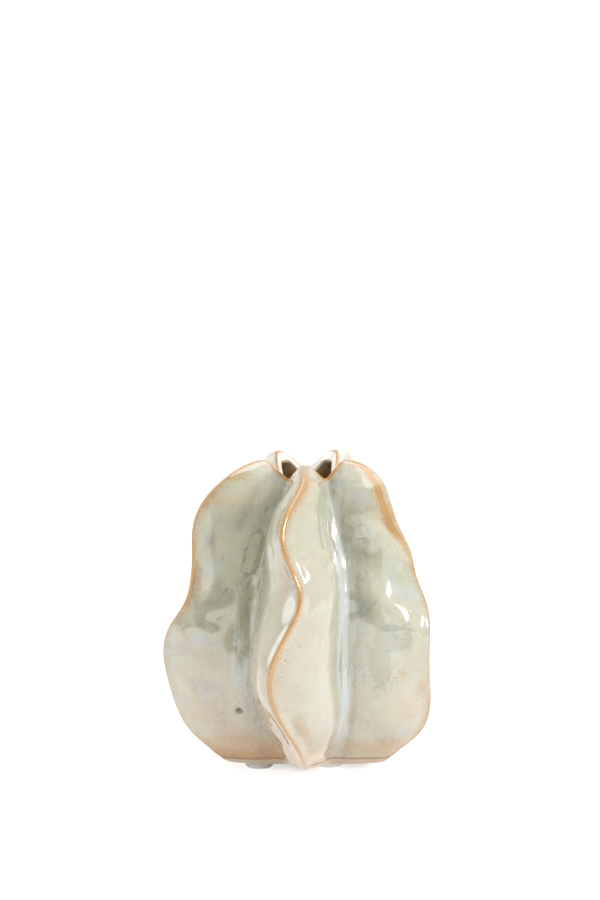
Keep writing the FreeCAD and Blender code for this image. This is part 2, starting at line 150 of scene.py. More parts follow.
# Places where the glaze differs, by kind: lobe, side, height share, share of the way from ridge
# to valley, radius around and up in millimetres
PATCHES = {
    "ash": (
        (4, 1, 0.94, 0.3, 2.5, 2.5), (4, 1, 0.85, 0.84, 3.0, 3.0), (4, 1, 0.72, 0.3, 2.5, 4.0),
        (4, 1, 0.74, 0.8, 2.5, 4.0), (4, 1, 0.6, 0.5, 4.0, 4.0), (4, 1, 0.5, 0.5, 8.0, 6.0),
        (4, 1, 0.45, 0.82, 4.0, 5.0), (1, -1, 0.8, 0.62, 4.0, 9.0), (1, -1, 0.68, 0.7, 5.0, 10.0),
        (1, -1, 0.57, 0.75, 6.0, 8.0), (1, -1, 0.47, 0.35, 7.0, 5.0), (2, 1, 0.66, 0.55, 7.0, 9.0),
        (2, -1, 0.55, 0.45, 8.0, 8.0), (3, 1, 0.6, 0.6, 7.0, 9.0), (3, -1, 0.72, 0.5, 7.0, 8.0),
    ),
    "ember": (
        (4, 1, 0.1, 0.6, 12.0, 4.0), (4, 1, 0.955, 0.16, 4.0, 2.5), (4, 1, 0.86, 0.06, 3.0, 8.0),
        (0, 1, 0.18, 0.22, 4.0, 12.0), (0, 1, 0.08, 0.45, 7.0, 6.0), (1, -1, 0.33, 0.36, 3.0, 2.5),
        (1, -1, 0.27, 0.12, 4.0, 5.0), (1, -1, 0.07, 0.5, 18.0, 5.0), (1, -1, 0.8, 0.12, 4.5, 9.0),
        (1, -1, 0.77, 0.06, 3.0, 7.0), (1, -1, 0.85, 0.05, 3.0, 7.0), (1, -1, 0.72, 0.03, 1.5, 9.0),
        (1, 1, 0.76, 0.03, 2.0, 10.0), (2, 1, 0.12, 0.5, 16.0, 5.0), (3, -1, 0.14, 0.4, 14.0, 5.0),
        (0, 1, 0.02, 0.1, 5.0, 6.0), (0, -1, 0.02, 0.1, 5.0, 6.0), (0, -1, 0.22, 0.3, 6.0, 16.0),
    ),
    "milk": ((0, 1, 0.48, 0.93, 4.0, 60.0), (1, -1, 0.5, 0.99, 1.5, 55.0), (2, 1, 0.35, 0.9, 4.0, 30.0)),
    "rosy": (
        (1, -1, 0.86, 0.04, 3.5, 12.0), (4, 1, 0.88, 0.25, 6.0, 4.0), (4, 1, 0.32, 0.72, 3.0, 5.0),
        (4, 1, 0.2, 0.3, 9.0, 6.0), (1, -1, 0.84, 0.18, 5.0, 9.0), (1, -1, 0.2, 0.3, 10.0, 6.0),
        (0, 1, 0.9, 0.15, 3.0, 8.0), (0, -1, 0.12, 0.5, 12.0, 18.0), (0, -1, 0.68, 0.2, 4.0, 20.0),
        (0, -1, 0.38, 0.4, 6.0, 20.0), (0, 1, 0.05, 0.4, 12.0, 8.0),
    ),
    "thick": (
        (0, -1, 0.45, 0.3, 3.5, 18.0), (0, 1, 0.45, 0.35, 12.0, 45.0), (1, -1, 0.25, 0.45, 14.0, 14.0),
        (4, 1, 0.3, 0.75, 6.0, 14.0), (4, 1, 0.51, 0.7, 1.8, 8.0), (0, -1, 0.6, 0.216, 3.2, 5.0),
        (4, 1, 0.91, 0.45, 11.0, 8.0),
    ),
    "pit": ((4, 1, 0.2, 0.77, 1.9, 1.6),),
    # Rings round the leaf-shaped dents, for their painted reflections
    "ring": ((4, 1, 0.716, 0.846, 3.3, 8.4), (4, 1, 0.607, 0.92, 2.2, 5.0)),
    "green": (
        (0, -1, 0.7, 0.62, 7.0, 27.0), (4, 1, 0.55, 0.45, 9.5, 9.0), (4, 1, 0.495, 0.6, 3.6, 3.8),
        (4, 1, 0.372, 0.873, 2.2, 4.4), (1, -1, 0.393, 0.945, 2.2, 2.6), (1, -1, 0.52, 1.0, 0.9, 24.0),
        (4, 1, 0.52, 0.85, 4.0, 9.0), (1, -1, 0.36, 0.6, 5.0, 11.0), (1, -1, 0.45, 0.45, 9.0, 6.0),
        (1, -1, 0.45, 0.97, 1.6, 8.0),
    ),
    # On the front lobe's left wall these are painted reflections of a bright light; near the back lobes' rims they
    # are pale glaze.
    "white": (
        (0, -1, 0.585, 0.13, 3.2, 6.0), (0, -1, 0.48, 0.07, 1.6, 9.0), (2, -1, 0.97, 0.3, 12.0, 9.0),
        (2, 1, 0.97, 0.3, 12.0, 9.0), (3, -1, 0.97, 0.3, 12.0, 9.0), (3, 1, 0.97, 0.3, 12.0, 9.0),
    ),
    "smoke": (
        (0, -1, 0.06, 0.4, 6.0, 8.0), (4, 1, 0.75, 0.28, 2.6, 4.0), (4, 1, 0.82, 0.6, 2.4, 5.5),
        (4, 1, 0.865, 0.9, 2.4, 2.8), (4, 1, 0.62, 0.44, 1.8, 3.0), (4, 1, 0.56, 0.4, 4.0, 3.0),
        (1, -1, 0.81, 0.62, 3.0, 6.0), (1, -1, 0.7, 0.74, 4.0, 5.0), (1, -1, 0.55, 0.8, 4.0, 8.0),
        (2, -1, 0.7, 0.4, 4.0, 6.0), (3, 1, 0.62, 0.5, 4.0, 6.0), (0, -1, 0.66, 0.083, 4.0, 2.0),
    ),
    "frost": ((4, 1, 0.33, 0.84, 7.0, 15.0),),
    "blue": ((4, 1, 0.375, 0.985, 1.8, 8.0), (0, 1, 0.33, 0.97, 1.6, 18.0)),
    "dust": ((1, -1, 0.84, 0.06, 6.0, 12.0), (1, 1, 0.84, 0.06, 6.0, 12.0)),
}

# Slow lumps and small presses of the walls, in metres, with the starts of their random draws
LUMP_WAVE, LUMP_WAVES, LUMP_SEED = 0.030, 20, 5
PRESS_COUNT, PRESS_RADII, PRESS_SHARES, PRESS_SEED = 420, (0.003, 0.0065), (0.35, 1.0), 11
# Where the groove under the glaze lies over the underside, and its half width
GROOVE_HEIGHT, GROOVE_WIDTH = 0.0030, 0.0006
# Height share where the pinkish glaze gives way, and how it wanders
WARM_LIMIT, WARM_WANDER, WARM_WAVE, WARM_WAVES, WARM_SEED = 0.46, 0.05, 0.018, 14, 21
# Rows across the lip, how far its middle stands up, and the rounding at the floor's edge
LIP_SHARES, LIP_CROWN, FLOOR_ROUND = (0.28, 0.5, 0.72), 0.00015, 0.003
UNDERSIDE_RINGS = (0.1, 0.25, 0.4, 0.55, 0.7, 0.82, 0.92, 1.0)
FLOOR_RINGS = (1.0, 0.85, 0.65, 0.45, 0.25, 0.1)
PAD_TURNS, PAD_CROWN = 96, 0.0002

# The studio: how far the paper lies under the pads and how much it glows where it is seen
SWEEP_DROP, PAPER_GLOW, WHITE = 0.00005, 0.62, (1.0, 1.0, 1.0)
# The dark card: name, width, height, place, what it faces and its shade
CURTAIN = ("front_curtain", 3.7, 4.0, (-0.65, -2.2, 2.03), (-0.65, -0.4, 2.03), 0.05)
# The lamps: name, setting of its power, width, height, place, and whether the glaze mirrors it
LAMPS = (
    ("key_right", "key_watts", 0.15, 0.17, (1.05, -0.65, 0.50), True),
    ("fill_left", "fill_watts", 0.9, 1.0, (-1.3, -0.7, 0.6), False),
    ("top_soft", "top_watts", 1.4, 1.4, (0.1, -0.2, 1.7), True),
)
LAMP_TARGET = (0.0, 0.0, 0.07)

Wall = namedtuple("Wall", "ridge valley side lobes heights along")


def length(name, description, default):
    """A length of the piece, in metres."""
    return bpy.props.FloatProperty(
        name=name, description=description, default=default, unit="LENGTH", precision=5
    )


def lengths(name, description, default):
    """One length for each lobe or axis, in metres."""
    return bpy.props.FloatVectorProperty(
        name=name, description=description, default=default, size=len(default), unit="LENGTH", precision=5
    )


def colour(name, description, default):
    """A glaze or studio colour, linear."""
    return bpy.props.FloatVectorProperty(
        name=name, description=description, default=default, size=3, subtype="COLOR", min=0.0, max=1.0
    )


def number(name, description, default):
    """A plain number."""
    return bpy.props.FloatProperty(name=name, description=description, default=default)


class PillowVaseShape(bpy.types.PropertyGroup):
    """Sizes of the clay body."""

    height: length("Height", "From the underside to the highest points of the rim", 0.1325)
    underside: length("Underside", "Height of the underside over the table", 0.0025)
    axis: lengths("Mouth axis", "Where the mouth's axis stands, across and behind", (0.0043, 0.0033))
    reaches: lengths("Reaches", "How far each ridge stands out from the axis", (0.058, 0.0562, 0.058, 0.059, 0.0639))
    mouth_radii: lengths(
        "Mouth radii", "How far each ridge is from the axis at the rim", (0.0176, 0.0176, 0.0204, 0.0194, 0.0196)
    )
    valley_radius: length("Valley radius", "The valleys' distance from the axis at the waist", 0.0306)
    valley_mouth_radius: length("Valley mouth radius", "The valleys' distance from the axis at the rim", 0.0132)
    rim_dip: length("Rim dip", "How much lower the rim is at the valleys", 0.0076)
    wall: length("Wall", "Thickness of the clay", 0.004)
    floor: length("Floor", "Thickness of the clay under the hollow", 0.005)
    lip_width: length("Lip width", "Bevelled face of the rim, across the wall", 0.0032)
    lip_drop: length("Lip drop", "How far the lip falls towards the inside", 0.0043)
    bead_half_width: length("Bead half width", "Half the bead pinched along each ridge", 0.0017)
    bead_depth: length("Bead depth", "Depth of that bead", 0.0022)
    crease_half_width: length("Crease half width", "Half the crease inside each ridge", 0.0024)
    crease_depth: length("Crease depth", "Depth of that crease", 0.0016)
    rim_round: length("Rim round", "How far the lip's edges are rounded", 0.0008)
    foot_round: length("Foot round", "How far the lower edge is rounded", 0.0017)
    foot_groove: length("Foot groove", "Depth of the groove where the glaze ends over the foot", 0.00022)
    lump_depth: length("Lumps", "Height of the slow lumps of the hand-built walls", 0.0004)
    press_depth: length("Finger presses", "Depth of the shallow finger presses all over", 0.00065)
    row_step: length("Row step", "Distance between the mesh's rows", 0.00075)


class PillowVaseGlaze(bpy.types.PropertyGroup):
    """Colours of the glaze and the clay."""

    cream: colour("Cream", "The glaze where it is thick and bright", (0.605, 0.58, 0.44))
    sage: colour("Sage", "The cooler green of the upper walls", (0.54, 0.54, 0.395))
    # Olive also darkens the walls towards the valleys, as painted shade over the pooled glaze.
    olive: colour("Olive", "The glaze pooled in the valleys", (0.31, 0.285, 0.17))
    blush: colour("Blush", "The pinkish lower walls", (0.56, 0.485, 0.37))
    lilac: colour("Lilac", "Cloudy cool tints", (0.56, 0.58, 0.60))
    blue: colour("Blue", "Small opalescent pools beside the valleys", (0.50, 0.55, 0.66))
    milk: colour("Milk", "Greenish white runs", (0.63, 0.68, 0.67))
    amber: colour("Amber", "The glaze broken thin along the ridges", (0.58, 0.32, 0.095))
    rust: colour("Rust", "The brown edge of the amber and the foot line", (0.34, 0.165, 0.06))
    peach: colour("Peach", "The soft pinkish fringe beside the amber", (0.66, 0.45, 0.29))
    ash: colour("Ash", "Grey specks", (0.24, 0.255, 0.23))
    lip_white: colour("Lip white", "The pale glaze on the rim's bevel", (0.90, 0.90, 0.80))
    inside: colour("Inside", "The brown glaze inside", (0.62, 0.40, 0.25))
    clay: colour("Bare clay", "The unglazed underside", (0.52, 0.38, 0.25))
    foot_line: length("Foot line", "Height over the table where the glaze ends", 0.0056)
    roughness: number("Roughness", "Roughness of the glaze", 0.12)
    coat: number("Coat", "Weight of the glassy top of the glaze", 1.0)


class PillowVasePads(bpy.types.PropertyGroup):
    """The stick-on pads."""

    edge_round: length("Edge round", "Rounding of the pad's lower edge", 0.0008)
    dish: length("Dish", "Depth of the shallow dish in the pad's underside", 0.00015)
    pale: colour("Pad colour", "The soft pad", (0.88, 0.89, 0.87))
    # Glow is painted light: the right pad shines by itself, as though lit through.
    glow: number("Glow", "Light that the right pad, which stands free of the foot, carries through", 0.28)
    film: colour("Film colour", "The adhesive film", (0.72, 0.71, 0.64))


class PillowVaseStudio(bpy.types.PropertyGroup):
    """The stage, the lamps and the camera."""

    target: bpy.props.FloatVectorProperty(
        name="Target", description="Point that falls on the middle of the picture", default=(0.0013, 0.0, 0.1386),
        size=3, subtype="XYZ", unit="LENGTH",
    )
    distance: length("Distance", "From the target to the camera", 1.35)
    elevation: bpy.props.FloatProperty(
        name="Elevation", description="How far the camera looks down", default=math.radians(10.5), subtype="ANGLE"
    )
    picture_height: length("Picture height", "Height of the picture at the target", 900 * 0.0004267)
    floor: colour("Floor", "Paper sweep", (0.92, 0.92, 0.92))
    key_watts: number("Key", "Power of the narrow lamp on the right", 7.0)
    fill_watts: number("Fill", "Power of the broad lamp on the left", 6.0)
    top_watts: number("Top", "Power of the broad lamp overhead", 14.0)
    sky: number("Sky", "Strength of the plain light from all around", 0.45)


# Mesh code of the body


def unit(vectors):
    """Vectors scaled to length one."""
    return vectors / np.maximum(np.linalg.norm(vectors, axis=-1, keepdims=True), 1e-12)


def direction(degrees):
    """Outward direction at an angle about +Z, and the one a quarter turn ahead of it."""
    a = math.radians(degrees)
    return np.array((math.cos(a), math.sin(a), 0.0)), np.array((-math.sin(a), math.cos(a), 0.0))


def axis_point(shape):
    """The mouth's axis at the table."""
    return np.array((shape.axis[0], shape.axis[1], 0.0))


def lobe_angle(lobe):
    """Where a lobe faces about +Z, in degrees."""
    return -90.0 + 360.0 * lobe / LOBE_COUNT


def outline(radii, heights):
    """(radius, height) points as one array."""
    return np.column_stack((radii, heights))


def ridge_outline(shape, lobe):
    """Outer outline of a lobe's ridge, from the underside to the rim."""
    radii = np.append(shape.reaches[lobe] * np.array(RIDGE_OUT[lobe]), shape.mouth_radii[lobe])
    return outline(radii, shape.underside + shape.height * np.array(RIDGE_HEIGHTS))


def valley_outline(shape):
    """Outer outline of a valley, from the underside to the rim."""
    radii = np.append(shape.valley_radius * np.array(VALLEY_OUT), shape.valley_mouth_radius)
    return outline(radii, shape.underside + (shape.height - shape.rim_dip) * np.array(VALLEY_HEIGHTS))


def wall_distance(ridge_radius, valley_radius):
    """Distance from the axis to the straight line between a ridge and the next valley."""
    half_step = math.pi / LOBE_COUNT
    out, ahead = valley_radius * math.cos(half_step), valley_radius * math.sin(half_step)
    return ridge_radius * ahead / np.hypot(ridge_radius - out, ahead)


def inner_outline(shape, outer, walls):
    """Outline behind an outer one, from the floor to the lip."""
    depths = shape.wall * outer[:, 0] / walls
    run = np.empty_like(outer)
    run[1:-1] = outer[2:] - outer[:-2]
    run[0], run[-1] = outer[1] - outer[0], outer[-1] - outer[-2]
    run = unit(run)
    inside = outer + depths[:, None] * np.column_stack((-run[:, 1], run[:, 0]))
    inside = inside[1:-1]
    inside[0, 1] = shape.underside + shape.floor
    lip = (outer[-1, 0] * (1.0 - shape.lip_width / walls[-1]), outer[-1, 1] - shape.lip_drop)
    return np.vstack((inside, lip))


def wall_poles(bead, valley, side, puffs):
    """Poles of a puffed wall from a ridge's bead to a valley."""
    run = valley - bead
    outward = np.array((run[1] * side, -run[0] * side, 0.0))
    return [bead + run * along + outward * puff for along, puff in zip(WALL_ALONG, puffs)]


def section(shape, ridges, valleys, level, half_width, depth, puffs):
    """Poles of one closed section round the body."""
    axis = axis_point(shape)
    up = np.array((0.0, 0.0, 1.0))
    tops, beads, bottoms = [], [], []
    for lobe in range(LOBE_COUNT):
        out, ahead = direction(lobe_angle(lobe))
        radius, height = ridges[lobe]
        crest = axis + up * height + out * radius + ahead * RIDGE_SWAY[lobe][level] * shape.reaches[lobe]
        top = crest + out * depth / 3.0
        foot = top - out * depth
        tops.append(top)
        beads.append((foot - ahead * half_width, foot + ahead * half_width))
        drift = VALLEY_DRIFTS[lobe] * math.sin(math.pi * RIDGE_HEIGHTS[level])
        out, _ = direction(lobe_angle(lobe + 0.5) + drift)
        radius, height = valleys[lobe]
        bottoms.append(axis + up * height + out * radius)
    puffs = [PUFF_LEVELS[level] * puff for puff in puffs]
    poles = []
    for lobe, (near, far) in enumerate(beads):
        poles += wall_poles(near, bottoms[lobe - 1], -1.0, puffs)[::-1]
        poles += [near, tops[lobe], far]
        poles += wall_poles(far, bottoms[lobe], 1.0, puffs)
        poles.append(bottoms[lobe])
    return np.array(poles)


def body_sections(shape):
    """Sections of the outside, from the underside to the rim, and of the hollow, from the floor to the lip."""
    valley = valley_outline(shape)
    outer_ridges, inner_ridges, inner_valleys = [], [], []
    for lobe in range(LOBE_COUNT):
        ridge = ridge_outline(shape, lobe)
        walls = wall_distance(ridge[:, 0], valley[:, 0])
        outer_ridges.append(ridge)
        inner_ridges.append(inner_outline(shape, ridge, walls))
        inner_valleys.append(inner_outline(shape, valley, walls))
    outer = [
        section(
            shape, [r[level] for r in outer_ridges], [valley[level]] * LOBE_COUNT, level,
            shape.bead_half_width, shape.bead_depth, OUTER_PUFFS,
        )
        for level in range(len(RIDGE_HEIGHTS))
    ]
    inner = [
        section(
            shape, [r[level] for r in inner_ridges], [v[level] for v in inner_valleys], level + 1,
            shape.crease_half_width, shape.crease_depth, INNER_PUFFS,
        )
        for level in range(len(RIDGE_HEIGHTS) - 1)
    ]
    return np.array(outer), np.array(inner)


def around_body():
    """Curve parameters round the body, one for each column of the mesh."""
    places = [pole + i / steps for pole, steps in enumerate(STEPS) for i in range(steps)]
    return np.concatenate([np.array(places) + POLES_PER_LOBE * lobe for lobe in range(LOBE_COUNT)])


def column_at(pole):
    """The mesh's column at a pole of the sections."""
    lobe, place = divmod(pole, POLES_PER_LOBE)
    return (lobe * sum(STEPS) + sum(STEPS[:place])) % (LOBE_COUNT * sum(STEPS))


def round_curve(poles, at):
    """Points of the smooth closed curve that each row of poles steers."""
    first = np.floor(at).astype(int)
    f = (at - first)[:, None]
    count = poles.shape[1]
    weights = ((1 - f) ** 3, 3 * f**3 - 6 * f**2 + 4, -3 * f**3 + 3 * f**2 + 3 * f + 1, f**3)
    return sum(w * poles[:, (first + k - 1) % count] for k, w in enumerate(weights)) / 6.0


def up_curve(points, levels, at):
    """Smooth curves up through the levels' points, read at the given places."""
    flat = points.reshape(len(levels), -1)
    h = np.diff(levels)
    count = len(levels)
    matrix, right = np.zeros((count, count)), np.zeros((count, flat.shape[1]))
    slopes = np.diff(flat, axis=0) / h[:, None]
    for i in range(1, count - 1):
        matrix[i, i - 1 : i + 2] = h[i - 1], 2 * (h[i - 1] + h[i]), h[i]
        right[i] = 6 * (slopes[i] - slopes[i - 1])
    matrix[0, :3] = h[1], -(h[0] + h[1]), h[0]
    matrix[-1, -3:] = h[-1], -(h[-2] + h[-1]), h[-2]
    bends = np.linalg.solve(matrix, right)
    i = np.clip(np.searchsorted(levels, at) - 1, 0, count - 2)
    a, b, step = (levels[i + 1] - at)[:, None], (at - levels[i])[:, None], h[i][:, None]
    low = flat[i] / step - bends[i] * step / 6
    high = flat[i + 1] / step - bends[i + 1] * step / 6
    rows = bends[i] * a**3 / (6 * step) + bends[i + 1] * b**3 / (6 * step) + low * a + high * b
    return rows.reshape((len(at),) + points.shape[1:])


def level_places(sections):
    """How far up the skin each section lies."""
    steps = np.linalg.norm(np.diff(sections, axis=0), axis=2).mean(axis=1)
    return np.concatenate(((0.0,), np.cumsum(steps)))


def skin_rows(sections, step, trim_low, trim_high):
    """Rows of points of a skin, trimmed at both ends, and the curve of each section."""
    levels = level_places(sections)
    curves = round_curve(sections, around_body())
    count = max(int(levels[-1] / step), 8)
    at = np.linspace(trim_low, levels[-1] - trim_high, count)
    return up_curve(curves, levels, at), curves


def normals_of(rows):
    """Outward normals of rows of points."""
    along = np.roll(rows, -1, axis=1) - np.roll(rows, 1, axis=1)
    return unit(np.cross(along, np.gradient(rows, axis=0)))


def slow_noise(points, wave, count, seed):
    """Smooth random field between about -1 and 1, from a sum of plane waves of about one wave length."""
    rng = np.random.default_rng(seed)
    ways = unit(rng.normal(size=(count, 3)))
    waves = 2 * math.pi / (wave * rng.uniform(0.7, 1.5, count))
    phases = rng.uniform(0, 2 * math.pi, count)
    field = np.zeros(points.shape[:-1])
    for way, k, phase in zip(ways, waves, phases):
        field += np.sin(points @ (way * k) + phase)
    return field * math.sqrt(2.0 / count) / 1.5


def gaps_around(rows):
    """Distance along each row to the nearest ridge and valley, the side of the ridge, and its lobe."""
    steps = np.linalg.norm(np.roll(rows, -1, axis=1) - rows, axis=2)
    whole = steps.sum(axis=1, keepdims=True)
    run = np.concatenate((np.zeros((len(rows), 1)), np.cumsum(steps, axis=1)[:, :-1]), axis=1)

    def way_from(pole):
        way = run - run[:, column_at(pole)][:, None]
        return (way + whole / 2) % whole - whole / 2

    ridge = np.full(run.shape, 1e9)
    valley = np.full(run.shape, 1e9)
    side = np.ones(run.shape)
    lobes = np.zeros(run.shape, int)
    for lobe in range(LOBE_COUNT):
        way = way_from(lobe * POLES_PER_LOBE + RIDGE_POLE)
        closer = np.abs(way) < ridge
        ridge = np.where(closer, np.abs(way), ridge)
        side = np.where(closer, np.sign(way), side)
        lobes = np.where(closer, lobe, lobes)
        valley = np.minimum(valley, np.abs(way_from(lobe * POLES_PER_LOBE + VALLEY_POLE)))
    return ridge, valley, side, lobes


def wall_places(rows, shape):
    """Where each point lies on its wall: gaps, side and lobe, height share and share of the way to the valley."""
    ridge, valley, side, lobes = gaps_around(rows)
    heights = (rows[..., 2] - shape.underside) / shape.height
    return Wall(ridge, valley, side, lobes, heights, ridge / np.maximum(ridge + valley, 1e-6))


def by_level(tables, wall):
    """A table's values for each point, by its lobe and its height share."""
    values = np.zeros(wall.lobes.shape)
    for lobe, table in enumerate(tables):
        here = wall.lobes == lobe
        values[here] = np.interp(wall.heights[here], RIDGE_HEIGHTS, table)
    return values


def place_mask(wall, shape, place):
    """Soft oval mask at a place on the wall: lobe, side, height share, share along, radii in millimetres."""
    lobe, way, height, share, around, up = place
    du = (wall.along - share) * (wall.ridge + wall.valley) / (around * MM)
    dv = (wall.heights - height) * shape.height / (up * MM)
    near = np.exp(-(du**2 + dv**2))
    return np.where((wall.lobes == lobe) & (wall.side == way), near, 0.0)


def place_masks(wall, shape, places):
    """The soft masks of several places as one."""
    return np.maximum.reduce([place_mask(wall, shape, place) for place in places])


def smooth_step(values, low, high):
    """0 below low, 1 above high, smooth between."""
    t = np.clip((values - low) / (high - low), 0.0, 1.0)
    return t * t * (3 - 2 * t)


def pressed_out(rows, shape):
    """Rows of the outside after the hand work: slow lumps, finger presses and the foot's groove."""
    wall = wall_places(rows, shape)
    quiet = smooth_step(wall.ridge, 0.0015, 0.006)
    quiet = quiet * smooth_step(wall.heights, 0.0, 0.05) * smooth_step(1 - wall.heights, 0.0, 0.06)
    depth = shape.lump_depth * slow_noise(rows, LUMP_WAVE, LUMP_WAVES, LUMP_SEED)
    rng = np.random.default_rng(PRESS_SEED)
    flat = rows.reshape(-1, 3)
    presses = np.zeros(len(flat))
    for centre in flat[rng.integers(0, len(flat), PRESS_COUNT)]:
        radius = rng.uniform(*PRESS_RADII)
        near = ((flat - centre) ** 2).sum(axis=1) / radius**2
        presses += rng.uniform(*PRESS_SHARES) * np.exp(-near)
    presses = presses.reshape(depth.shape)
    depth = (depth - shape.press_depth * presses) * (1 - place_masks(wall, shape, CALM))
    for *place, deep in PRESSED:
        depth = depth - MM * deep * place_mask(wall, shape, place)
    groove = np.exp(-(((rows[..., 2] - shape.underside - GROOVE_HEIGHT) / GROOVE_WIDTH) ** 2))
    return rows + normals_of(rows) * (depth * quiet - shape.foot_groove * groove)[..., None]


def corner(before, peak, after, steps):
    """Rows that round a corner: the points between two rows by way of the corner's own row."""
    ts = np.linspace(0.0, 1.0, steps + 2)[1:-1]
    return [(1 - t) ** 2 * before + 2 * t * (1 - t) * peak + t**2 * after for t in ts]


def drawn_in(row, shape, distance):
    """A row moved towards the mouth's axis at its own height."""
    moved = row + unit(axis_point(shape) - row) * distance
    moved[:, 2] = row[:, 2]
    return moved


def rings_to_axis(row, shape, shares):
    """Flat rings that shrink from a row to the mouth's axis."""
    middle = axis_point(shape)
    rings = []
    for share in shares:
        ring = middle + (row - middle) * share
        ring[:, 2] = row[:, 2]
        rings.append(ring)
    return rings


def body_rows(shape):
    """All rows of the closed body, from the middle of the underside over the rim to the middle of the floor.

    Each comes with its part: underside, outside, lip or inside.
    """
    outer_poles, inner_poles = body_sections(shape)
    outer, outer_curves = skin_rows(outer_poles, shape.row_step, shape.foot_round, shape.rim_round)
    inner, inner_curves = skin_rows(inner_poles, 4 * shape.row_step, FLOOR_ROUND, shape.rim_round)
    outer = pressed_out(outer, shape)

    foot, rim = outer_curves[0], outer_curves[-1]
    floor_edge, lip_edge = inner_curves[0], inner_curves[-1]
    foot_in = drawn_in(foot, shape, shape.foot_round)
    floor_in = drawn_in(floor_edge, shape, FLOOR_ROUND)
    lip = [rim + (lip_edge - rim) * share for share in LIP_SHARES]
    lip[1][:, 2] += LIP_CROWN
    rim_corner = corner(outer[-1], rim, lip[0], 3)

    parts = [
        ("underside", rings_to_axis(foot_in, shape, UNDERSIDE_RINGS)),
        ("outside", corner(foot_in, foot, outer[0], 5)),
        ("outside", list(outer)),
        ("outside", rim_corner[:2]),
        ("lip", rim_corner[2:]),
        ("lip", lip),
        ("lip", corner(lip[-1], lip_edge, inner[-1], 4)),
        ("inside", list(inner[::-1])),
        ("inside", corner(inner[0], floor_edge, floor_in, 4)),
        ("inside", rings_to_axis(floor_in, shape, FLOOR_RINGS)),
    ]
    rows, names = [], []
    for name, group in parts:
        rows += group
        names += [name] * len(group)
    return np.array(rows), names


def smooth_mesh(name, points, faces):
    """A mesh with smooth shading."""
    mesh = bpy.data.meshes.new(name)
    mesh.from_pydata(points, [], faces)
    mesh.polygons.foreach_set("use_smooth", np.ones(len(mesh.polygons), bool))
    mesh.update()
    return mesh


def closed_mesh(name, rows):
    """Mesh of closed rows of points, shut with a fan at both ends."""
    count, around = rows.shape[:2]
    points = np.vstack((rows.reshape(-1, 3), rows[0].mean(axis=0), rows[-1].mean(axis=0)))
    index = np.arange(count * around).reshape(count, around)
    ahead = np.roll(index, -1, axis=1)
    quads = np.stack((index[:-1], ahead[:-1], ahead[1:], index[1:]), axis=-1).reshape(-1, 4)
    low = [(count * around, b, a) for a, b in zip(index[0], ahead[0])]
    high = [(count * around + 1, a, b) for a, b in zip(index[-1], ahead[-1])]
    return smooth_mesh(name, points.tolist(), quads.tolist() + low + high)


def point_value(mesh, name, values):
    """A number at each point of a mesh, for its materials."""
    attribute = mesh.attributes.new(name, "FLOAT", "POINT")
    attribute.data.foreach_set("value", values.astype(np.float32))


def glaze_values(rows, names, shape):
    """Numbers that steer the glaze at each point of the body, gaps in millimetres."""
    wall = wall_places(rows, shape)
    wall = wall._replace(heights=np.clip(wall.heights, 0, 1))
    names = np.array(names)
    last_out = np.flatnonzero(names == "outside")[-1]
    last_lip = np.flatnonzero(names == "lip")[-1]
    steps = np.linalg.norm(np.diff(rows, axis=0), axis=2)
    run = np.concatenate((np.zeros((1, rows.shape[1])), np.cumsum(steps, axis=0)))
    outside = np.arange(len(rows)) <= last_out
    off_line = np.abs(wall.ridge * wall.side - MM * by_level(AMBER_SHIFTS, wall))
    ridge_reach = off_line / (MM * by_level(AMBER_HALF_WIDTHS, wall))
    values = {
        "ridge_reach": np.where(outside[:, None], ridge_reach, 99.0),
        "amber_strength": by_level(AMBER_STRENGTHS, wall),
        "rim_gap": (run - run[last_out]) * TO_MM,
        "mouth_gap": (run - run[last_lip - 2]) * TO_MM,
        "valley_gap": wall.valley * TO_MM,
        "warm": warm_zone(rows, wall),
    }
    for kind, places in PATCHES.items():
        values[kind] = place_masks(wall, shape, places)
    return values


def warm_zone(rows, wall):
    """Where the lower, pinkish glaze begins: 1 below, 0 above, with a slow wander."""
    limit = WARM_LIMIT + WARM_WANDER * slow_noise(rows, WARM_WAVE, WARM_WAVES, WARM_SEED)
    right = (wall.lobes == 1) & (wall.side < 0)
    dip = np.exp(-(((wall.along - 0.62) / 0.14) ** 2))
    limit = limit - right * (0.12 * smooth_step(wall.along, 0.1, 0.3) + 0.09 * dip)
    front = (wall.lobes == 0) & (wall.side > 0)
    limit = limit + 0.35 * front * (1 - smooth_step(wall.along, 0.35, 0.6))
    return 1 - smooth_step(wall.heights - limit, -0.04, 0.04)


# Shader helpers


def add(tree, kind, settings=None, **inputs):
    """A node with its settings and the values or links of its named inputs."""
    node = tree.nodes.new(kind)
    for key, value in (settings or {}).items():
        setattr(node, key, value)
    plug(tree, node, **inputs)
    return node


def plug(tree, node, **inputs):
    """Sets or links inputs, each by its name or, as n0, by its number. One number fills a whole vector."""
    for key, value in inputs.items():
        target = node.inputs[int(key[1:]) if key[1:].isdigit() else key.replace("_", " ")]
        if isinstance(value, bpy.types.NodeSocket):
            tree.links.new(value, target)
        elif target.type == "RGBA":
            target.default_value = (*value, 1.0)
        elif target.type == "VECTOR" and isinstance(value, float):
            target.default_value = (value, value, value)
        else:
            target.default_value = value


def maths(tree, operation, a, b=0.0, clamp=False):
    """The result of one operation."""
    return add(tree, "ShaderNodeMath", {"operation": operation, "use_clamp": clamp}, n0=a, n1=b).outputs[0]


def plus(tree, a, b):
    """The sum of two values."""
    return maths(tree, "ADD", a, b)


def minus(tree, a, b):
    """The first value less the second."""
    return maths(tree, "SUBTRACT", a, b)


def times(tree, *values):
    """The product of several values."""
    product = values[0]
    for value in values[1:]:
        product = maths(tree, "MULTIPLY", product, value)
    return product


def ramp(tree, value, low, high):
    """0 below low, 1 above high, smooth between; low may be over high."""
    settings = {"interpolation_type": "SMOOTHSTEP"}
    return add(tree, "ShaderNodeMapRange", settings, Value=value, From_Min=low, From_Max=high).outputs[0]


